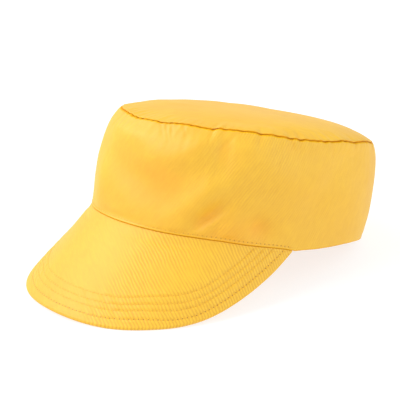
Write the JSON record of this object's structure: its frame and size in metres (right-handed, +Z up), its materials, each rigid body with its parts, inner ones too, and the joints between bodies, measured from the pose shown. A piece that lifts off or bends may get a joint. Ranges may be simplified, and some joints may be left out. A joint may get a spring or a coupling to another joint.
{
  "type": "peaked pillbox cap",
  "caption": "Soft cloth cap with a flat oval top, a tall side band and a stiff stitched peak that curves down in front, lying tilted back on its rim and peak.",
  "frame": {"origin": "middle of the cap's box, on the floor that it lies on", "axes": "+Z up from the floor, -Y the way the peak points, +X to the wearer's left"},
  "size_m": [0.1635, 0.2544, 0.102],
  "materials": {
    "crown_cloth": "yellow twill, matt",
    "peak_cloth": "yellow twill over a stiff board, matt"
  },
  "bodies": {
    "root": {"crown_top": "crown_cloth", "crown_side": "crown_cloth", "peak": "peak_cloth"}
  },
  "joints": []
}
